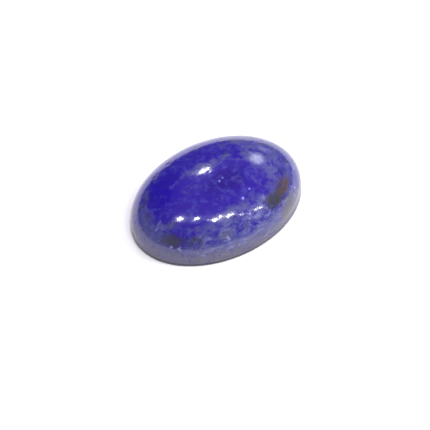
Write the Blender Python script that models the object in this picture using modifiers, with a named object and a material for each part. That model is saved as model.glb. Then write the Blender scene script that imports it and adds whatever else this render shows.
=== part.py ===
"""An oval cabochon of lapis lazuli, 18 x 13 mm, lying on its flat back.

The stone is one solid: a flat back, a low wall that leans in a little, and a domed top.
Its long axis is X, its short axis is Y, and the back lies on Z = 0 with its centre at the origin.
"""

from math import cos, pi, sin

import bmesh
import bpy
from mathutils import Matrix

# Driving dimensions in metres
LENGTH = 0.018
WIDTH = 0.013
HEIGHT = 0.0049
WALL_HEIGHT = 0.0008
BACK_ROUNDING = 0.0002

# How the sides lean and how full the dome is
WALL_LEAN = 0.010  # share of the radius that the wall loses between the rounding and the dome
DOME_FULLNESS_OUT = 2.11  # 2 is an ellipse, more makes the shoulder squarer
DOME_FULLNESS_UP = 2.2

# Faceting
DOME_RINGS = 20
SIDES = 72
ROUNDING_STEPS = 3
ROUNDED_EDGE_ANGLE = 1.2  # radians, so that only the edge of the back is rounded
SHADE_SHARP_ANGLE = 0.6
WELD = 1e-6

# Finish
LAPIS_BLUE = (0.050, 0.035, 0.300, 1.0)
POLISH_ROUGHNESS = 0.12


def clear_scene():
    for old in list(bpy.data.objects):
        bpy.data.objects.remove(old, do_unlink=True)


def dome_profile():
    """Half of the section through the long axis, as (x, z), from the crown down the outside to the back's centre.

    The dome is a superellipse between the crown and the wall's top. The wall is a straight line below it,
    half the length out where the rounding starts, and carried on to the sharp corner that it takes off.
    """
    wall_top = (1.0 - WALL_LEAN) * LENGTH / 2
    corner = LENGTH / 2 + (LENGTH / 2 - wall_top) * BACK_ROUNDING / (WALL_HEIGHT - BACK_ROUNDING)
    points = []
    for ring in range(DOME_RINGS + 1):
        angle = (1.0 - ring / DOME_RINGS) * pi / 2
        out = cos(angle) ** (2 / DOME_FULLNESS_OUT) if ring else 0.0
        up = sin(angle) ** (2 / DOME_FULLNESS_UP)
        points.append((wall_top * out, WALL_HEIGHT + (HEIGHT - WALL_HEIGHT) * up))
    points.append((corner, 0.0))
    points.append((0.0, 0.0))
    return points


def turned(points):
    """A guide object whose profile is turned once round Z by a Screw modifier."""
    mesh = bpy.data.meshes.new("profile")
    vertices = [(x, 0.0, z) for x, z in points]
    edges = [(i, i + 1) for i in range(len(points) - 1)]
    mesh.from_pydata(vertices, edges, [])
    guide = bpy.data.objects.new("profile", mesh)
    bpy.context.scene.collection.objects.link(guide)
    screw = guide.modifiers.new("turn", "SCREW")
    screw.axis = "Z"
    screw.steps = SIDES
    screw.render_steps = SIDES
    screw.use_merge_vertices = True
    screw.merge_threshold = WELD
    return guide


def oval_mesh(guide):
    """The turned shape as a mesh of its own, drawn in across Y until its outline is the oval."""
    bpy.context.view_layer.update()
    graph = bpy.context.evaluated_depsgraph_get()
    mesh = bpy.data.meshes.new_from_object(guide.evaluated_get(graph))
    mesh.transform(Matrix.Diagonal((1.0, WIDTH / LENGTH, 1.0, 1.0)))
    shape = bmesh.new()
    shape.from_mesh(mesh)
    bmesh.ops.remove_doubles(shape, verts=shape.verts, dist=WELD)
    bmesh.ops.recalc_face_normals(shape, faces=shape.faces)
    shape.to_mesh(mesh)
    shape.free()
    bpy.data.objects.remove(guide, do_unlink=True)
    return mesh


def lapis_material():
    material = bpy.data.materials.new("lapis")
    material.use_nodes = True
    shader = material.node_tree.nodes["Principled BSDF"]
    shader.inputs["Base Color"].default_value = LAPIS_BLUE
    shader.inputs["Roughness"].default_value = POLISH_ROUGHNESS
    shader.inputs["Metallic"].default_value = 0.0
    return material


def cabochon(collection):
    mesh = oval_mesh(turned(dome_profile()))
    mesh.name = "cabochon"
    mesh.shade_smooth()
    mesh.set_sharp_from_angle(angle=SHADE_SHARP_ANGLE)
    mesh.materials.append(lapis_material())
    stone = bpy.data.objects.new("cabochon", mesh)
    collection.objects.link(stone)
    rounding = stone.modifiers.new("edge of the back", "BEVEL")
    rounding.width = BACK_ROUNDING
    rounding.segments = ROUNDING_STEPS
    rounding.limit_method = "ANGLE"
    rounding.angle_limit = ROUNDED_EDGE_ANGLE
    return stone


def main():
    clear_scene()
    collection = bpy.data.collections.new("lapis_lazuli_cabochon")
    bpy.context.scene.collection.children.link(collection)
    cabochon(collection)


main()
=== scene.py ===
# %% [markdown]
# A lapis lazuli cabochon
#
# A cabochon is a stone that is ground and polished to a smooth dome, with no facets. This one is an oval
# of 18 x 13 mm. Its back is flat, a low wall rises from it, and the dome takes over from the wall.
# Lapis lazuli is a rock and not a single crystal: blue lazurite grains, with clouds of white calcite
# and a little brown and olive from other minerals. Its polish is good but not perfect.
#
# The construction model gives the place and size of the stone. This script gives it a surface that is
# fine enough to polish, the colours of the rock all the way through, and a small photo table.

# %% Load the construction model
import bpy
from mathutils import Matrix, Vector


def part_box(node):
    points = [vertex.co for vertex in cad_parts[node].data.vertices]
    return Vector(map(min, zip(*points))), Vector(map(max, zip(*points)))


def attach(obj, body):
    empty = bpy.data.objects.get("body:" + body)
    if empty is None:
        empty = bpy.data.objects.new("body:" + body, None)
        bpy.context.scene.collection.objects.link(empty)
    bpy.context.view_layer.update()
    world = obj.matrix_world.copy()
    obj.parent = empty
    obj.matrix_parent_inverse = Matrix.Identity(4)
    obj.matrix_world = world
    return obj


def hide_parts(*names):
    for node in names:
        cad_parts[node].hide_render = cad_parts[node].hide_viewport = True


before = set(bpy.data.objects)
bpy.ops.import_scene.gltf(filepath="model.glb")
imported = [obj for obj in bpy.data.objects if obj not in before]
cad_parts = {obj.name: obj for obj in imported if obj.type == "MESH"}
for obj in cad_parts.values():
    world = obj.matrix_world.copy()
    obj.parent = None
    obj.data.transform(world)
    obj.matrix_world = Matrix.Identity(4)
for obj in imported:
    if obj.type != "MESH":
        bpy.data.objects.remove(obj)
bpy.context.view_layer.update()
print("nodes of the model:", list(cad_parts))

# %% The tools that the cells below use
from math import cos, hypot, pi, radians, sin

import bpy
import numpy as np
from mathutils import Matrix, Vector

MM = 0.001  # metres
print("Blender", bpy.app.version_string)

# %% [markdown]
# The sizes
#
# The stone's length, width and height could be written down here again, but they are read from the
# model, so that the two always agree. Only what the model's box can't tell is stated: how high the
# wall is, how far it leans in, how the edge of the back is rounded, and how full the dome is.
# Everything is in metres.

# %% Read the sizes
low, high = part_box("cabochon")
HALF_LENGTH = (high[0] - low[0]) / 2
HALF_WIDTH = (high[1] - low[1]) / 2
HEIGHT = high[2] - low[2]
WALL_HEIGHT = 0.8 * MM
WALL_LEAN = 0.010  # share of the radius that the wall loses on its way up
EDGE_ROUNDING = 0.18 * MM  # radius of the edge between the wall and the flat back
FULL_OUT = 2.11  # 2 is an ellipse, more makes the shoulder squarer
FULL_UP = 2.2
print("stone, mm:", [round(size / MM, 2) for size in (2 * HALF_LENGTH, 2 * HALF_WIDTH, HEIGHT)])

# %% [markdown]
# The shape of the stone
#
# A cabochon is cut by holding the stone on a stick and rolling it against a wheel, so each of its
# sections is a smooth curve and its outline is an oval. It could be made from a sphere that is squashed,
# but a sphere has neither the wall nor the fuller shoulder. Here the section is written down once as a
# formula, and each ring of points is that section carried round the oval. A point is found from
# two numbers: how far down the section it is, and how far round the oval.

# %% The section from the crown to the wall's foot
DOME_STEPS = 120
WALL_STEPS = 8


def dome_section():
    """The share of the radius and the height of each ring on the dome.

    The angle t goes from 90 degrees at the crown to 0 at the shoulder. The share goes with its cosine to
    the power 2 / FULL_OUT, and the height above the wall with its sine to the power 2 / FULL_UP.
    """
    t = np.linspace(pi / 2, 0.0, DOME_STEPS + 1)
    share = (1.0 - WALL_LEAN) * np.clip(np.cos(t), 0.0, 1.0) ** (2 / FULL_OUT)
    height = WALL_HEIGHT + (HEIGHT - WALL_HEIGHT) * np.sin(t) ** (2 / FULL_UP)
    return share, height


def wall_section():
    """The wall below the dome: a straight line from the shoulder, out and down to the rounded edge."""
    height = np.linspace(WALL_HEIGHT, EDGE_ROUNDING, WALL_STEPS + 1)[1:]
    share = 1.0 - WALL_LEAN * (height - EDGE_ROUNDING) / (WALL_HEIGHT - EDGE_ROUNDING)
    return share, height


print("share of the radius at the shoulder:", float(dome_section()[0][-1]))

# %% The rings of the dome, the wall, the rounded edge and the back
ROUND_STEPS = 600
EDGE_STEPS = 8
BACK_STEPS = 22
around = np.arange(ROUND_STEPS) * 2 * pi / ROUND_STEPS
plan_out = np.stack([np.cos(around) / HALF_LENGTH, np.sin(around) / HALF_WIDTH], -1)
plan_out /= np.linalg.norm(plan_out, axis=-1, keepdims=True)  # the oval's outward direction in plan


def rings(x, y, height):
    """Three grids put together as one grid of points, with a ring in each row."""
    return np.stack([x, y, np.broadcast_to(height, x.shape)], -1)


def side_rings():
    """The oval times the share of the radius, at each height of the dome and the wall."""
    dome_share, dome_rise = dome_section()
    wall_share, wall_rise = wall_section()
    share = np.concatenate([dome_share, wall_share])[:, None]
    height = np.concatenate([dome_rise, wall_rise])[:, None]
    return rings(HALF_LENGTH * share * np.cos(around), HALF_WIDTH * share * np.sin(around), height)


def edge_rings():
    """A quarter circle between wall and back: drawn in by R (1 - cos b), at the height R (1 - sin b)."""
    b = np.linspace(0.0, pi / 2, EDGE_STEPS + 1)[1:, None]
    inset = EDGE_ROUNDING * (1.0 - np.cos(b))
    x = HALF_LENGTH * np.cos(around) - inset * plan_out[:, 0]
    y = HALF_WIDTH * np.sin(around) - inset * plan_out[:, 1]
    return rings(x, y, EDGE_ROUNDING * (1.0 - np.sin(b)))


def back_rings(last_ring):
    """The flat back: the last ring of the edge, scaled step by step down to the centre."""
    scale = np.linspace(1.0, 0.0, BACK_STEPS + 1)[1:, None]
    return rings(scale * last_ring[:, 0], scale * last_ring[:, 1], 0.0)


edge = edge_rings()
grid = np.concatenate([side_rings(), edge, back_rings(edge[-1])])
print("grid of the stone:", grid.shape[:2])

# %% [markdown]
# The polish
#
# A hand-held stone keeps traces of the wheel. The dome is wavy by a few thousandths of a millimetre,
# which nobody can feel, but a lamp's reflection shows it: the bright spots have jagged edges. Hard and
# soft grains are also worn down unequally, and there are a few small chips at the shoulder. A Displace
# modifier with a cloud texture could do it. Waves that are added up in numpy can be held to the true
# slope, and they end up in the mesh itself.

# %% Waves of the polish
WAVE_COUNT = 90
WAVE_LENGTHS = (0.30 * MM, 2.6 * MM)
WAVE_SLOPE = 0.016  # typical slope of the polished surface, in radians
random = np.random.default_rng(seed=7)


def waviness(points):
    """A sum of sine waves that run in all directions through space.

    Each wave gets an equal part of the slope WAVE_SLOPE, so a long wave is also a high one.
    """
    direction = random.normal(size=(WAVE_COUNT, 3))
    direction /= np.linalg.norm(direction, axis=1, keepdims=True)
    length = np.exp(random.uniform(np.log(WAVE_LENGTHS[0]), np.log(WAVE_LENGTHS[1]), WAVE_COUNT))
    rate = 2 * pi / length
    amplitude = WAVE_SLOPE * (2 / WAVE_COUNT) ** 0.5 / rate
    phase = random.uniform(0.0, 2 * pi, WAVE_COUNT)
    return np.sin(points @ (direction * rate[:, None]).T + phase) @ amplitude


print("waves:", WAVE_COUNT, "from", WAVE_LENGTHS[0] / MM, "to", WAVE_LENGTHS[1] / MM, "mm long")

# %% Small chips at the shoulder
# the place in plan, the radius and the depth of each chip, all in mm
CHIPS = (
    ((-4.55, 3.70), 0.16, 0.022),
    ((-4.20, 3.85), 0.12, 0.018),
    ((-2.75, 4.25), 0.22, 0.022),
    ((-2.30, 4.35), 0.12, 0.016),
    ((0.60, 4.35), 0.14, 0.018),
    ((3.15, 3.75), 0.16, 0.028),
    ((6.40, 1.60), 0.14, 0.020),
    ((5.70, -3.20), 0.20, 0.020),
    ((4.60, -4.30), 0.16, 0.018),
    ((-6.90, -2.70), 0.18, 0.022),
    ((-5.90, -3.70), 0.14, 0.018),
    ((1.90, -5.40), 0.14, 0.020),
    ((-3.30, -5.10), 0.14, 0.016),
)


def chips(points):
    """Bell-shaped dents: each is its depth times exp(-(distance / radius) squared).

    The lowest rings of the wall get none, so that the wall still meets the rounded edge.
    """
    places, radius, depth = (np.array(column) * MM for column in zip(*CHIPS))
    away = np.linalg.norm(points[..., None, :2] - places, axis=-1)
    dent = (depth * np.exp(-((away / radius) ** 2))).sum(-1)
    return dent * (points[..., 2] > 1.2 * EDGE_ROUNDING)


print("chips:", len(CHIPS))

# %% The polished surface
# the waves grow from nothing over this distance from the crown, where all rings meet
CENTRE_FADE = 0.4 * MM
# the waves are drawn in by this much, so that the stone keeps to the model's height
WAVE_INSET = 0.007 * MM


def outward(points):
    """The unit normal of the dome and the wall, from the differences between neighbouring points.

    At the crown, where all points of a ring meet, it is zero, so the crown stays as it is.
    """
    down = np.gradient(points, axis=0)
    along = (np.roll(points, -1, axis=1) - np.roll(points, 1, axis=1)) / 2
    normal = np.cross(down, along)
    length = np.linalg.norm(normal, axis=-1, keepdims=True)
    return normal / np.maximum(length, 1e-30)


def polished(points):
    """The rings moved along their normals by the waves, less the chips.

    The waves fade out at the crown and down the wall, so that the lowest ring stays as it is.
    """
    fade = np.clip((points[..., 2] - EDGE_ROUNDING) / WALL_HEIGHT, 0.0, 1.0)
    centre_fade = np.minimum(np.hypot(points[..., 0], points[..., 1]) / CENTRE_FADE, 1.0)
    move = fade * centre_fade * (waviness(points) - WAVE_INSET) - chips(points)
    return points + move[..., None] * outward(points)


top_rows = DOME_STEPS + 1 + WALL_STEPS
smooth_top = grid[:top_rows].copy()
grid[:top_rows] = polished(smooth_top)
relief = np.linalg.norm(grid[:top_rows] - smooth_top, axis=-1)
print("largest move by waves and chips, mm:", round(float(relief.max()) / MM, 4))

# %% [markdown]
# The mesh
#
# The grid's rows are rings, and its first and last row are single points, the crown and the middle of
# the back. So the mesh is a band of four-sided faces between neighbouring rings, which closes on itself
# all round, and a fan of triangles at each end. A dome and a back made apart would have to be welded.
# This way the stone is one closed body, as the real one is.

# %% Make the closed mesh
def closed_mesh(name, points):
    """A mesh from a grid of rings: quads from ring to ring, and a fan of triangles at each pole."""
    rows, columns = points.shape[:2]
    vertices = np.concatenate([points[0, :1], points[1:-1].reshape(-1, 3), points[-1, :1]])
    ring = 1 + np.arange((rows - 2) * columns).reshape(rows - 2, columns)
    ahead = np.roll(ring, -1, axis=1)
    band = np.stack([ring[:-1], ring[1:], ahead[1:], ahead[:-1]], -1).reshape(-1, 4)
    first = np.zeros(columns, int)
    last = np.full(columns, len(vertices) - 1)
    crown = np.stack([first, ring[0], ahead[0]], -1)
    middle = np.stack([last, ahead[-1], ring[-1]], -1)
    mesh = bpy.data.meshes.new(name)
    mesh.from_pydata(vertices.tolist(), [], band.tolist() + crown.tolist() + middle.tolist())
    mesh.shade_smooth()
    return mesh


def add_object(name, data):
    """A new object in the scene, at the origin."""
    added = bpy.data.objects.new(name, data)
    bpy.context.scene.collection.objects.link(added)
    return added


stone = add_object("polished_stone", closed_mesh("polished_stone", grid))
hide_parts("cabochon")
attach(stone, "root")
print("triangles of the stone:", sum(len(face.vertices) - 2 for face in stone.data.polygons))

# %% [markdown]
# Nodes written as arithmetic
#
# The colours of the rock come from noise that is shaped by a lot of small sums. With one Math node
# drawn by hand for each, nobody could read them. So a small class stands for the output of a node, and
# a plus or times sign on it adds the Math node. A second class adds all other nodes with one method:
# it takes the node's type, its settings, and what goes into its sockets.

# %% A value that adds its own Math nodes
class Value:
    """The output of a node, a number that varies over the stone."""

    def __init__(self, nodes, socket):
        self.nodes = nodes
        self.socket = socket

    def math(self, operation, first, second):
        return self.nodes.node("ShaderNodeMath", {"operation": operation}, {0: first, 1: second})

    def __add__(self, other):
        return self.math("ADD", self, other)

    def __radd__(self, other):
        return self.math("ADD", other, self)

    def __sub__(self, other):
        return self.math("SUBTRACT", self, other)

    def __rsub__(self, other):
        return self.math("SUBTRACT", other, self)

    def __mul__(self, other):
        return self.math("MULTIPLY", self, other)

    def __rmul__(self, other):
        return self.math("MULTIPLY", other, self)

    def or_more(self, other):
        return self.math("MAXIMUM", self, other)

    def absolute(self):
        return self.math("ABSOLUTE", self, 0.0)


print("signs that add Math nodes: plus, minus and times")

# %% A tree of nodes with one method for any node
class Nodes:
    """The node tree of a material or a world."""

    def __init__(self, tree):
        self.tree = tree

    def feed(self, socket, value):
        """Links the socket to a Value, or sets it to a plain number, vector or colour."""
        if isinstance(value, Value):
            self.tree.links.new(value.socket, socket)
        else:
            socket.default_value = value

    def node(self, kind, settings=None, inputs=None, output=0):
        """Adds a node, sets it, and feeds its sockets by name or number. Gives one of its outputs."""
        added = self.tree.nodes.new(kind)
        for name, setting in (settings or {}).items():
            setattr(added, name, setting)
        for name, value in (inputs or {}).items():
            self.feed(added.inputs[name], value)
        return Value(self, added.outputs[output]) if added.outputs else None


print("one method adds any other node")

# %% [markdown]
# What the pattern is built from
#
# All patterns are solid: they fill space, and the stone is a shape cut out of them. That is how the real
# rock works too, so the pattern runs on over the shoulder, down the wall and across the flat back
# without a seam. It is measured in millimetres from the middle of the back, with the long axis as X.
#
# An image painted on the dome would end at its edge and stretch on the sides. Instead, a few helpers do
# all the work. Noise gives grains and clouds of a chosen size. A second noise pushes the first one
# about, which makes curled wisps, and a stretched place draws it out into streaks. A soft step turns a
# number into a mask. A lump is the inside of an ellipsoid with a ragged skin, for a patch of another
# mineral at one place.

# %% The material, and noise that is curled or drawn out
lapis = bpy.data.materials.new("polished lapis")
lapis.use_nodes = True
rock = Nodes(lapis.node_tree)
shader = lapis.node_tree.nodes["Principled BSDF"]
stone.data.materials.append(lapis)


def vector(operation, first, second, third=(0.0, 0.0, 0.0)):
    return rock.node("ShaderNodeVectorMath", {"operation": operation}, {0: first, 1: second, 2: third})


def grain(place, size, seed, detail=4.0, roughness=0.55, output="Fac"):
    """Noise with lumps of about the size given in mm, near 0.5 on average."""
    inputs = {"Vector": place, "W": seed, "Scale": 1 / size, "Detail": detail, "Roughness": roughness}
    return rock.node("ShaderNodeTexNoise", {"noise_dimensions": "4D"}, inputs, output)


def curled(place, size, reach, seed):
    """The place moved by a noise of that size, by up to about half the reach in mm each way."""
    push = vector("SUBTRACT", grain(place, size, seed, detail=2.0, output="Color"), (0.5, 0.5, 0.5))
    return vector("MULTIPLY_ADD", push, (reach, reach, reach), place)


def stretched(place, turn, sizes):
    """The place turned about Z by degrees and divided by three sizes, which draws out a noise."""
    inputs = {"Vector": place, "Rotation": (0.0, 0.0, radians(turn)), "Scale": sizes}
    return rock.node("ShaderNodeMapping", {"vector_type": "TEXTURE"}, inputs)


print("material:", lapis.name)

# %% Soft steps and blended colours
def step(value, start, end, low_end=0.0, high_end=1.0):
    """A soft step from low_end to high_end while the value goes from start to end."""
    settings = {"interpolation_type": "SMOOTHSTEP"}
    inputs = {"Value": value, "From Min": start, "From Max": end, "To Min": low_end, "To Max": high_end}
    return rock.node("ShaderNodeMapRange", settings, inputs)


def colour(red, green, blue):
    return (red, green, blue, 1.0)


def blend(under, over, mask):
    """The colour over laid on the colour under where the mask is 1."""
    settings = {"data_type": "RGBA", "clamp_factor": True}
    return rock.node("ShaderNodeMix", settings, {0: mask, 6: under, 7: over}, 2)


def any_of(masks):
    """Several masks as one: the largest of them."""
    whole = masks[0]
    for mask in masks[1:]:
        whole = whole.or_more(mask)
    return whole


print("masks are soft steps from 0 to 1")

# %% Lumps in the stone's surface
LEAST_DEEP = 0.8  # mm, so that a narrow lump still shows all over the curve of the dome


def dome_height(x, y):
    """The height of the stone's top over a place in plan, all in mm, from the dome's formula."""
    share = min(hypot(x * MM / HALF_LENGTH, y * MM / HALF_WIDTH) / (1.0 - WALL_LEAN), 1.0)
    rise = (1.0 - share**FULL_OUT) ** (1 / FULL_UP)
    return (WALL_HEIGHT + (HEIGHT - WALL_HEIGHT) * rise) / MM


def lump(place, x, y, long, wide, turn=0.0, deep=None, soft=0.6, height=None):
    """A mask that is 1 well inside an ellipsoid and fades out to its skin over the share soft.

    x and y are its middle in mm, at the dome's own height if none is given. long, wide and deep are its
    half sizes, and turn is in degrees about Z. The mask is a soft step of the distance from the middle,
    measured in half sizes.
    """
    middle = (x, y, dome_height(x, y) if height is None else height)
    inputs = {"Vector": place, "Location": middle, "Rotation": (0.0, 0.0, radians(turn))}
    inputs["Scale"] = (long, wide, deep or max(wide, LEAST_DEEP))
    away = rock.node("ShaderNodeMapping", {"vector_type": "TEXTURE"}, inputs)
    distance = rock.node("ShaderNodeVectorMath", {"operation": "LENGTH"}, {0: away}, "Value")
    return step(distance, 1.0, 1.0 - soft)


print("height of the dome over its middle, mm:", round(dome_height(0.0, 0.0), 2))

# %% Places for the noises to read, in mm
local = rock.node("ShaderNodeTexCoord", output="Object")
spot = rock.node("ShaderNodeVectorMath", {"operation": "SCALE"}, {0: local, "Scale": 1 / MM})
wisp = curled(curled(spot, 2.4, 1.5, 1.0), 0.55, 0.35, 2.0)
ragged = curled(curled(spot, 0.9, 0.9, 3.0), 0.26, 0.42, 4.0)
parts = rock.node("ShaderNodeSeparateXYZ", inputs={0: spot}).socket.node
along = Value(rock, parts.outputs["X"])
across = Value(rock, parts.outputs["Y"])
upward = Value(rock, parts.outputs["Z"])
print("places: smooth, curled into wisps, and ragged")

# %% [markdown]
# The blue of the rock
#
# The blue is lazurite. It isn't even: where the grains are pure and dense the blue is nearly
# ultramarine, a strong, dark and slightly violet blue, and where fine calcite is mixed in, it is paler.
# One colour with a noise on its brightness would look like paint. So four blues are mixed by noise at
# two sizes: zones of some millimetres, and grains of about half a millimetre with finer ones in them.
# A zone near the left end is the purest blue, and the middle of the dome is the darkest.

# %% The four blues
ROYAL_BLUE = colour(0.019, 0.007, 0.225)
DEEP_BLUE = colour(0.0095, 0.0015, 0.235)
PALE_BLUE = colour(0.050, 0.053, 0.290)
NIGHT_BLUE = colour(0.011, 0.003, 0.152)

deep_zone = lump(wisp, -4.8, 1.6, 3.6, 3.2, turn=-8.0, deep=4.0, soft=0.75)
deep_rim = lump(wisp, -1.2, 3.2, 4.6, 0.95, turn=3.0, deep=2.0, soft=0.7)
zone = grain(wisp, 2.2, 11.0, detail=5.0)
speckle = grain(ragged, 0.60, 12.0, detail=4.0, roughness=0.55)
deep = step(zone + 0.34 * deep_zone.or_more(0.6 * deep_rim) + 0.5 * (speckle - 0.5), 0.48, 0.86)
paler = step(speckle + 0.35 * (zone - 0.5) - 0.09 * deep_zone, 0.44, 0.76, 0.0, 0.75)
tone = blend(blend(ROYAL_BLUE, DEEP_BLUE, deep), PALE_BLUE, paler)
night_zone = lump(wisp, 0.1, -1.2, 3.3, 1.9, turn=6.0, deep=2.5, soft=0.8)
tone = blend(tone, NIGHT_BLUE, night_zone * step(speckle, 0.68, 0.42, 0.3, 1.0))
print("blue of the rock: 4 colours in zones and grains")

# %% [markdown]
# Clouds of calcite
#
# White calcite runs through the blue as a milky haze. It is densest at both ends of this stone and
# along the foot of the dome, it lies in two veils on the dome, and it is thin in the middle. The far
# veil is partly calcite and partly a painted reflection of a faint band of light. A mask with a soft
# edge alone would be fog. So the zones only shift the level at which a noise turns into haze, and the
# inside of a cloud is wisps. Small islands of blue stay clear in it.

# %% Zones of haze
right_zone = step(along + 2.2 * (zone - 0.5), 1.6, 4.6)
low_zone = step(upward + 1.6 * (zone - 0.5), 3.3, 1.6)
near_zone = step(across + 1.2 * (zone - 0.5), -3.0, -4.5)
left_zone = step(along + 1.2 * (zone - 0.5), -5.9, -7.6)
# the far veil is partly calcite and partly a painted reflection of the faint band of light across the
# far side
far_haze_and_painted_reflection = lump(wisp, -0.5, 1.25, 4.4, 0.85, turn=-2.0, deep=3.0, soft=0.8)
near_veil = lump(wisp, -4.9, -3.6, 1.5, 0.65, turn=-30.0, deep=2.0, soft=0.8)
zones = [0.68 * right_zone, 0.60 * low_zone, 0.68 * near_zone, 0.62 * left_zone]
zones += [0.82 * far_haze_and_painted_reflection, 0.7 * near_veil]
THIN_HAZE = 0.24  # what is left between the zones
cloud_zone = any_of(zones).or_more(THIN_HAZE) * (1 - 0.75 * deep_zone)
print("zones of haze:", len(zones))

# %% Milky haze with islands and streaks
MILKY_BLUE = colour(0.068, 0.072, 0.215)
HAZE_WHITE = colour(0.20, 0.21, 0.42)

cloud_noise = grain(wisp, 1.05, 21.0, detail=6.0, roughness=0.56)
cloud = step(cloud_noise + 0.50 * (cloud_zone - 0.5), 0.37, 0.66, 0.0, 0.88)
tone = blend(tone, MILKY_BLUE, cloud)

islands = step(grain(ragged, 0.75, 23.0, detail=5.0, roughness=0.6), 0.50, 0.36, 0.0, 0.75)
tone = blend(tone, ROYAL_BLUE, islands * step(cloud_zone, 0.3, 0.6))

streak_place = stretched(ragged, 24.0, (1.5, 0.42, 0.6))
streak_noise = grain(streak_place, 1.0, 22.0, detail=5.0, roughness=0.6)
streaks = step(streak_noise + 0.22 * (cloud_zone - 0.5), 0.56, 0.74, 0.0, 0.5)
tone = blend(tone, HAZE_WHITE, streaks * step(cloud_zone, 0.15, 0.7))
print("haze over the blue, with islands and streaks")

# %% The white cloud, partly a painted glow round a lamp's spot
CALCITE_AND_GLOW = colour(0.44, 0.46, 0.66)

# the white cloud is calcite, and partly a painted glow round the spot of the dim far lamp, which lies on
# it
white_middle_and_glow = lump(ragged, 4.30, -0.45, 1.00, 1.15, turn=10.0, soft=0.9)
white_tail_and_glow = lump(ragged, 5.75, 0.35, 0.80, 0.85, turn=30.0, soft=0.95)
white_cloud_and_glow = white_middle_and_glow.or_more(0.6 * white_tail_and_glow)
tone = blend(tone, HAZE_WHITE, white_cloud_and_glow * step(cloud_noise, 0.30, 0.55, 0.4, 1.0))
tone = blend(tone, CALCITE_AND_GLOW, step(white_middle_and_glow * cloud_noise, 0.30, 0.60, 0.0, 0.30))
print("one white cloud, with a tail")

# %% [markdown]
# The streaks at the foot of the dome
#
# Lapis is a metamorphic rock, so its minerals lie in thin layers. On the side towards the camera the cut
# runs nearly along them, and they show as streaks of light and strong blue. A wave texture would make
# them even, and the real ones are broken. So they are noise in a place that is stretched along the
# layers, which lie a little off the stone's own long axis, with a few larger bits and streaks one by
# one.

# %% Layers of light and strong blue
layer_place = stretched(ragged, -4.0, (1.7, 0.30, 0.36))
layers = grain(layer_place, 1.0, 31.0, detail=4.0, roughness=0.55)
foot = step(across, -4.0, -5.0) * step(upward, 3.9, 3.2)
tone = blend(tone, HAZE_WHITE, foot * step(layers, 0.50, 0.66, 0.0, 0.55))
tone = blend(tone, DEEP_BLUE, foot * step(layers, 0.44, 0.34, 0.0, 0.65))
blue_spot = lump(ragged, 0.35, -5.75, 0.55, 0.30, turn=6.0, soft=0.7)
tone = blend(tone, DEEP_BLUE, 0.85 * blue_spot)
first_bit = lump(ragged, -0.3, -5.95, 0.75, 0.28, turn=2.0, soft=0.8)
second_bit = lump(ragged, -3.4, -4.85, 0.7, 0.45, soft=0.8)
tone = blend(tone, ROYAL_BLUE, 0.75 * first_bit.or_more(second_bit))

# the middle and the half length of each light streak, in mm
LIGHT_STREAKS = ((1.35, -5.75, 0.95), (0.80, -5.30, 0.75), (2.00, -5.40, 0.70), (-7.5, -1.3, 0.5))
for x, y, long in LIGHT_STREAKS:
    light_streak = lump(ragged, x, y, long, 0.20, turn=12.0, deep=0.5, soft=0.9)
    tone = blend(tone, HAZE_WHITE, 0.62 * light_streak)
print("layers at the foot, and", len(LIGHT_STREAKS), "larger light streaks")

# %% [markdown]
# The other minerals
#
# There is a rust-brown patch at the right end with a dark olive one beside it, an olive band at the
# lower left, grey patches at the left end and on the near side, and slate-coloured bits near the rim,
# where dark pyroxene and mica lie in the blue. Noise alone would put them anywhere, so they are lumps
# at their own places, with ragged skins. Each has its own colour and lets the blue through in places,
# because the grains are mixed. They don't stand out of the surface: the polish runs straight over them.

# %% Slate bits near the rim
SLATE = colour(0.022, 0.022, 0.090)

mixed = grain(ragged, 0.30, 41.0, detail=5.0, roughness=0.65)
slate_bits = [
    lump(ragged, -7.7, 0.2, 0.60, 0.85),
    lump(ragged, -7.5, 1.7, 0.45, 0.35),
    lump(ragged, -4.5, 3.55, 0.60, 0.30, turn=10.0),
    lump(ragged, -2.8, 4.15, 0.75, 0.26, turn=4.0),
    lump(ragged, 0.65, 4.15, 0.65, 0.36),
    lump(ragged, 3.8, 3.35, 1.30, 0.50, turn=-22.0),
    lump(ragged, 5.7, 2.55, 0.80, 0.42, turn=-30.0),
    lump(ragged, 6.6, 1.1, 1.05, 0.38, turn=-55.0),
    lump(ragged, 7.2, 0.2, 0.36, 0.85),
    lump(ragged, 6.9, -1.6, 0.34, 0.45),
    lump(ragged, 5.7, -2.6, 0.50, 0.34),
]
slate = any_of(slate_bits)
tone = blend(tone, SLATE, slate * step(mixed, 0.40, 0.60, 0.10, 0.90))
print("slate bits:", len(slate_bits))

# %% Olive and grey patches
OLIVE = colour(0.038, 0.038, 0.041)
STONE_GREY = colour(0.075, 0.077, 0.130)

olive_lumps = [
    lump(ragged, 3.2, -4.80, 1.60, 1.00, turn=6.0, soft=0.65),
    lump(ragged, 4.1, -4.40, 2.00, 0.70, turn=21.0, soft=0.8),
    lump(ragged, -7.1, -2.9, 1.75, 0.90, turn=-43.0, soft=0.8),
    0.7 * lump(ragged, -5.5, -4.2, 1.4, 0.55, turn=-34.0, soft=0.9),
]
olive = any_of(olive_lumps)
tone = blend(tone, OLIVE, olive * step(mixed, 0.36, 0.58, 0.75, 1.0))

grey_lumps = [
    lump(ragged, -2.8, -5.25, 0.75, 0.42, turn=-8.0),
    0.9 * lump(ragged, -6.5, -2.0, 1.05, 0.60, turn=-25.0, soft=0.9),
    0.8 * lump(ragged, -6.5, 2.5, 1.5, 0.75, turn=54.0, soft=0.9),
]
tone = blend(tone, STONE_GREY, any_of(grey_lumps) * step(mixed, 0.35, 0.60, 0.3, 0.9))

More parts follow.
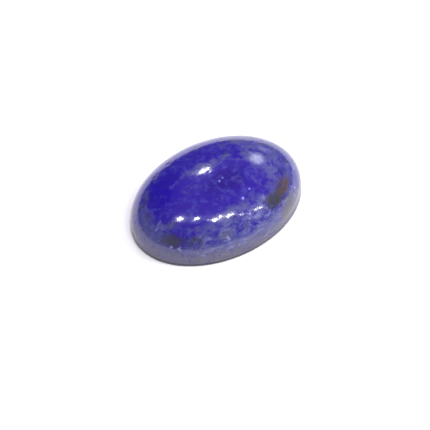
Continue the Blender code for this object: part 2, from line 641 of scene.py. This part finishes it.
# the left end is milky again, over the patches
left_end = lump(ragged, -8.2, -0.9, 1.25, 2.7, turn=6.0, deep=2.4, soft=0.8)
tone = blend(tone, MILKY_BLUE, left_end * step(mixed, 0.35, 0.62, 0.30, 0.85))
print("olive and grey lumps:", len(olive_lumps), "and", len(grey_lumps))

# %% The rust patch, and dark bits in the rust and the olive
RUST = colour(0.082, 0.055, 0.032)

rust_middle = lump(ragged, 5.15, -3.70, 1.50, 1.05, turn=38.0, soft=0.8)
rust_tail = lump(ragged, 4.3, -4.3, 0.7, 0.35, turn=25.0, soft=0.8)
rust = rust_middle.or_more(0.8 * rust_tail)
tone = blend(tone, RUST, rust * step(mixed, 0.36, 0.56, 0.60, 1.0))
dark_bits = step(grain(ragged, 0.42, 43.0, detail=3.0), 0.53, 0.62, 0.0, 0.7)
tone = blend(tone, SLATE, dark_bits * step(rust.or_more(olive), 0.15, 0.6))
print("one rust patch, with dark bits")

# %% [markdown]
# The wall
#
# Round the foot the stone is paler and greyer, because the calcite is denser there and the wall is only
# ground and not polished as finely as the dome. Its colour isn't even either: it has a plain grey patch
# under the olive one, and its far side is painted darker, as painted shade for the dimmer reflection
# there.
# At the very bottom a painted dark line stands for the shadow where the stone meets the table, with a
# painted pale line above it for the table's reflection in the wall. All of this could be a second
# material on the lower faces, but that would end in a hard line. So the wall is a mask of the height,
# with noise in it. A thin step just above the back keeps the edge's colours, and most of the wall's, off
# the flat back.

# %% The grey of the wall
WALL_NEAR = colour(0.084, 0.081, 0.108)
WALL_LEFT = colour(0.088, 0.084, 0.118)
WALL_FAR_PAINTED_SHADE = colour(0.056, 0.052, 0.110)
FOOT_GREY = colour(0.080, 0.077, 0.080)

off_back = step(upward, 0.005, 0.05)
low_band = step(upward + 3.0 * (cloud_noise - 0.5) + 1.8 * (mixed - 0.5), 2.7, 0.7, 0.0, 0.85)
low_band = low_band * (0.35 + 0.65 * off_back)
wall_tone = blend(WALL_NEAR, WALL_LEFT, step(along + 3.0 * (zone - 0.5), -4.0, -8.0, 0.0, 0.9))
# painted shade: the far side of the wall is darker, standing in for the dimmer reflection there
wall_tone = blend(wall_tone, WALL_FAR_PAINTED_SHADE, step(across + 2.0 * (zone - 0.5), 1.5, 4.0, 0.0, 0.7))
tone = blend(tone, wall_tone, low_band)
foot_grey = lump(ragged, 4.7, -5.3, 2.2, 0.85, turn=30.0, deep=2.0, soft=0.65, height=1.8)
tone = blend(tone, FOOT_GREY, foot_grey * step(mixed, 0.36, 0.60, 0.50, 0.90))
print("wall: a band of grey round the foot, and a patch under the olive")

# %% Blue and light bits in the wall, and painted shadow and reflection at its foot
WALL_LIGHT = colour(0.200, 0.196, 0.270)
PAINTED_TABLE_REFLECTION = colour(0.108, 0.103, 0.140)
PAINTED_FOOT_SHADOW = colour(0.016, 0.013, 0.030)

tone = blend(tone, ROYAL_BLUE, low_band * step(speckle, 0.50, 0.36, 0.0, 0.65))
tone = blend(tone, WALL_LIGHT, low_band * step(layers, 0.54, 0.72, 0.0, 0.42))
# painted reflection: a pale line just above the foot stands for the table mirrored in the wall
tone = blend(tone, PAINTED_TABLE_REFLECTION, off_back * step(upward, 0.75, 0.50, 0.0, 0.35))
# painted shadow: a dark line at the very foot stands for the shade where the stone meets the table
tone = blend(tone, PAINTED_FOOT_SHADOW, off_back * step(upward, 0.42, 0.26, 0.0, 0.92))
print("edge: light above, dark at the foot")

# %% [markdown]
# Flecks and hairlines
#
# The last marks are the smallest. There are whitish flecks, a few light dots, and dark hairlines where
# grains meet. They could be tiny meshes laid on the dome, but they are in the rock and not on it. So a
# fleck is where a fine noise is at its highest, and a hairline is where a broad noise is near its middle
# value, which is a long thin line through the rock. A few larger flecks and the dots are small lumps at
# their own places.

# %% Light flecks and dots
FLECK = colour(0.34, 0.35, 0.52)
DOT = colour(0.27, 0.27, 0.75)

fleck_noise = grain(curled(spot, 0.3, 0.1, 51.0), 0.17, 52.0, detail=2.0)
flecks = step(fleck_noise + 0.10 * (cloud_zone - 0.6), 0.70, 0.78, 0.0, 0.7)
FLECK_PLACES = ((-7.35, -3.15), (-6.75, -3.75), (-2.75, -5.55), (3.2, 3.7), (6.1, -4.2), (5.8, -4.6))
for x, y in FLECK_PLACES:
    flecks = flecks.or_more(0.45 * lump(ragged, x, y, 0.24, 0.15, turn=-30.0, deep=0.3))
tone = blend(tone, FLECK, flecks)

# the place and the half size of each dot in mm, and how strong it is
DOTS = (
    (0.0, -0.9, 0.16, 0.5),
    (-0.45, -1.05, 0.20, 0.6),
    (0.4, -3.6, 0.24, 0.9),
    (1.5, -3.1, 0.20, 0.6),
)
dots = []
for x, y, half_size, strength in DOTS:
    dot = lump(spot, x, y, half_size, 0.8 * half_size, turn=30.0, deep=0.3, soft=0.9)
    dots.append(strength * dot)
tone = blend(tone, DOT, any_of(dots))
print("flecks at", len(FLECK_PLACES), "places, and", len(dots), "dots")

# %% Dark hairlines
INK = colour(0.010, 0.008, 0.060)

line_noise = grain(ragged, 1.6, 61.0, detail=3.0)
hairline = step((line_noise - 0.5).absolute(), 0.012, 0.003)
line_patch = step(grain(spot, 1.9, 62.0, detail=1.0), 0.50, 0.62)
hairline_patches = hairline * line_patch
tone = blend(tone, INK, hairline_patches * step(upward, 0.8, 2.2, 0.10, 0.45))
rock.feed(shader.inputs["Base Color"], tone)
print("hairlines in patches; the colour is whole")

# %% [markdown]
# Gloss
#
# Lapis has a refractive index of about 1.5, and a polished dome is nearly a mirror for a lamp. Calcite
# and rust are softer than lazurite, so they end up less shiny, and the wall and the back aren't polished
# as far as the dome. One roughness all over would look like plastic, so it follows the same masks as the
# colour. A very shallow bump stands for the pores between grains that are too small for the mesh. Fine
# scratches from the last polish spread a little of the light, which shows as a soft halo round each
# bright spot: that is a thin coat with a rougher gloss.

# %% Roughness, coat and fine pores
DOME_ROUGHNESS = 0.075
PORE_DEPTH = 0.0012 * MM
satin_mask = step(upward, 2.2, 0.8)
roughness = DOME_ROUGHNESS + 0.03 * cloud + 0.09 * rust + 0.05 * slate
roughness = roughness + 0.16 * satin_mask + 0.12 * (1 - off_back) + 0.20 * white_middle_and_glow
rock.feed(shader.inputs["Roughness"], roughness + 0.05 * (fleck_noise - 0.5))
pores = grain(spot, 0.09, 71.0, detail=3.0)
pore_height = pores - 2.0 * hairline_patches
bump_inputs = {"Strength": 0.5, "Distance": PORE_DEPTH, "Height": pore_height}
bump = rock.node("ShaderNodeBump", inputs=bump_inputs)
rock.feed(shader.inputs["Normal"], bump)
SAME_ALL_OVER = {
    "Metallic": 0.0,
    "IOR": 1.5,
    "Coat Weight": 0.20,
    "Coat Roughness": 0.20,
    "Coat IOR": 1.5,
}
for name, value in SAME_ALL_OVER.items():
    rock.feed(shader.inputs[name], value)
print("nodes in the stone's material:", len(lapis.node_tree.nodes))

# %% [markdown]
# The table
#
# The stone lies on a plain white table, which throws light back at its sides. The pale ring round the
# dome is the table, mirrored in the steep sides. A curved backdrop isn't needed, because the camera
# looks down. So the table is one big square. It lies a hair below the stone's back, so that the two
# faces don't flicker into each other, and it is not part of the object.

# %% A plain white table
TABLE_HALF = 1.5
TABLE_TOP = -0.01 * MM
corners = [(x * TABLE_HALF, y * TABLE_HALF, TABLE_TOP) for x, y in ((-1, -1), (1, -1), (1, 1), (-1, 1))]
table_mesh = bpy.data.meshes.new("table")
table_mesh.from_pydata(corners, [], [(0, 1, 2, 3)])
table = add_object("table", table_mesh)
white = bpy.data.materials.new("matt white")
white.use_nodes = True
matt = white.node_tree.nodes["Principled BSDF"]
matt.inputs["Base Color"].default_value = colour(0.9, 0.9, 0.9)
matt.inputs["Roughness"].default_value = 1.0
matt.inputs["Specular IOR Level"].default_value = 0.0
table_mesh.materials.append(white)
print("table, m:", 2 * TABLE_HALF, "wide")

# %% [markdown]
# The camera
#
# The camera looks down on the stone at about 51 degrees, from the side and a little round the left end,
# so the long axis rises to the right in the picture. It could be placed by eye, but then the outline
# would never quite fit. So it is worked out: the distance of the long lens follows from how many pixels
# a millimetre of stone takes up, and the camera is moved sideways so that the stone stands a little
# above and beside the middle of the picture.

# %% Look from above and from the side
PICTURE_SIDE = 430  # pixels
PIXELS_PER_MM = 10.33
STONE_SEEN_AT = (216.9, 204.8)  # pixels from the left and the top, for the middle of the stone's back
ELEVATION = radians(51.2)
AZIMUTH = radians(-35.0)
LENS_MM = 92.09
SENSOR_MM = 36.0

back = Vector((sin(AZIMUTH) * cos(ELEVATION), -cos(AZIMUTH) * cos(ELEVATION), sin(ELEVATION)))
right = Vector((cos(AZIMUTH), sin(AZIMUTH), 0.0))
up = back.cross(right)
distance = LENS_MM / SENSOR_MM * PICTURE_SIDE / PIXELS_PER_MM * MM
shift_right = (STONE_SEEN_AT[0] - PICTURE_SIDE / 2) / PIXELS_PER_MM * MM
shift_up = (PICTURE_SIDE / 2 - STONE_SEEN_AT[1]) / PIXELS_PER_MM * MM
camera = add_object("camera", bpy.data.cameras.new("camera"))
camera.data.lens = LENS_MM
camera.data.sensor_width = SENSOR_MM
camera.data.clip_start = 0.01
camera.location = back * distance - right * shift_right - up * shift_up
camera.rotation_mode = "QUATERNION"
camera.rotation_quaternion = back.to_track_quat("Z", "Y")
bpy.context.scene.camera = camera
bpy.context.scene.view_settings.view_transform = "Standard"
print("camera distance, mm:", round(distance / MM, 1))

# %% [markdown]
# The small lamps
#
# The bright spots on the dome are reflections of a row of small lamps above the near side of the table,
# with two more behind. White spots could be painted on, but they would stay in place when the stone
# turns. Real lamps that are small and strong make sharp spots and add little other light. Each lamp is
# placed by the direction in which the stone sees it: how far right and how far back, one metre up.

# %% A row of small lamps
facing = Matrix.Rotation(AZIMUTH, 3, "Z")


def aimed(name, data, place):
    """An object for the light, at a place in metres seen from the camera's side, aimed at the stone."""
    light = add_object(name, data)
    light.location = facing @ Vector(place)
    light.rotation_mode = "QUATERNION"
    light.rotation_quaternion = light.location.to_track_quat("Z", "Y")
    return light


def small_lamp(name, to_right, to_back, size, radiance):
    """A round lamp one metre up, as wide as its distance times size.

    Its power is its radiance times pi times its area.
    """
    place = Vector((to_right, to_back, 1.0))
    data = bpy.data.lights.new(name, "AREA")
    data.shape = "DISK"
    data.size = size * place.length
    data.energy = radiance * pi * pi * (data.size / 2) ** 2
    return aimed(name, data, place)


# how far right and how far back each lamp is in metres, its width for each metre of distance, and its
# radiance
SMALL_LAMPS = {
    "near_lamp_1": (-0.318, -0.140, 0.068, 85.0),
    "near_lamp_2": (-0.060, -0.209, 0.078, 85.0),
    "near_lamp_3": (0.240, -0.272, 0.072, 85.0),
    "near_lamp_4": (0.460, -0.283, 0.078, 85.0),
    "near_lamp_5": (1.070, -0.271, 0.040, 85.0),
    "near_lamp_6": (1.240, -0.215, 0.040, 85.0),
    "near_lamp_small": (0.712, -0.313, 0.03, 60.0),
    "far_lamp": (-0.16, 0.99, 0.05, 100.0),
    "far_lamp_dim": (0.55, 1.38, 0.13, 4.0),
}
for name, (to_right, to_back, size, radiance) in SMALL_LAMPS.items():
    small_lamp(name, to_right, to_back, size, radiance)
print("small lamps:", len(SMALL_LAMPS))

# %% [markdown]
# The soft light
#
# The rest of the light is soft. It comes from the room and from two soft boxes close by. Such a big
# lamp would show as a white shape on the dome, which the real stone doesn't have, so they are kept out
# of the gloss. The one at the right is the stronger, and the stone's soft shadow falls to the left. Four
# dim panels do show: one gives the top of the dome its faint veil, one is a faint band across the far
# side, and two are the rails between the small lamps, which draw a thin line from spot to spot.

# %% Soft boxes
def soft_box(name, place, size, share):
    """A round soft box that adds a share of white to the table at the stone.

    The table gets radiance times area times (height / distance) / distance squared, divided by pi.
    """
    centre = Vector(place)
    far = centre.length
    area = pi * (size / 2) ** 2
    radiance = share * pi * far**2 / (area * centre.z / far)
    data = bpy.data.lights.new(name, "AREA")
    data.shape = "DISK"
    data.size = size
    data.energy = radiance * pi * area
    light = aimed(name, data, place)
    light.visible_glossy = False
    light.visible_camera = False


soft_box("soft_box_right", (0.26, 0.0, 0.20), size=0.14, share=0.34)
soft_box("soft_box_back", (0.02, 0.2, 0.26), size=0.20, share=0.10)
print("soft boxes: 2")

# %% Panels that show in the gloss
def panel(name, place, size, radiance, tint=(1.0, 1.0, 1.0), turn=0.0, lights_matt=True):
    """A rectangle that hangs level, one metre up. With lights_matt False it shows in the gloss alone."""
    data = bpy.data.lights.new(name, "AREA")
    data.shape = "RECTANGLE"
    data.size, data.size_y = size
    data.color = tint
    data.energy = radiance * pi * size[0] * size[1]
    light = add_object(name, data)
    light.location = facing @ Vector(place)
    light.rotation_euler = (0.0, 0.0, AZIMUTH + turn)
    light.visible_diffuse = lights_matt


panel("panel_above", (0.45, 0.5, 1.0), (2.0, 1.5), 0.26, tint=(0.75, 0.5, 1.0))
panel("lamp_rail", (0.06, -0.225, 1.0), (0.92, 0.036), 16.0, turn=-0.19, lights_matt=False)
panel("lamp_rail_right", (0.90, -0.27, 1.0), (0.75, 0.030), 6.0, turn=0.06, lights_matt=False)
panel("panel_far", (0.05, 1.2, 1.0), (1.5, 0.16), 1.0, tint=(1.0, 0.95, 1.0), turn=0.42)
print("lights in all:", len(bpy.data.lights))

# %% [markdown]
# The room
#
# A real room is bright in places and dim in others. Here it is bright where the camera looks past the
# table, soft and nearly white as light on matt surfaces, and dim violet in the stone's gloss. Walls and
# curtains round the table could do that. A Light Path node, which tells these rays apart, does it in
# one world.

# %% A bright backdrop and a dim room in the gloss
room = bpy.data.worlds.new("room")
bpy.context.scene.world = room
room.use_nodes = True
room.node_tree.nodes.clear()
sky = Nodes(room.node_tree)
SOFT_LIGHT = (colour(0.98, 0.95, 1.05), 0.60)
GLOSS_ROOM = (colour(0.70, 0.62, 0.90), 0.20)
BACKDROP = (colour(1.0, 1.0, 1.0), 1.5)


def background(tint, strength):
    return sky.node("ShaderNodeBackground", inputs={"Color": tint, "Strength": strength})


def ray_is(kind):
    return sky.node("ShaderNodeLightPath", output=kind)


def choose(mask, when_not, when_so):
    return sky.node("ShaderNodeMixShader", inputs={0: mask, 1: when_not, 2: when_so})


lit = choose(ray_is("Is Glossy Ray"), background(*SOFT_LIGHT), background(*GLOSS_ROOM))
seen = choose(ray_is("Is Camera Ray"), lit, background(*BACKDROP))
sky.node("ShaderNodeOutputWorld", inputs={"Surface": seen})
# rays that miss everything find the room, and it is too even to need a map of its bright places
room.cycles.sampling_method = "NONE"
print("nodes of the room:", len(room.node_tree.nodes))
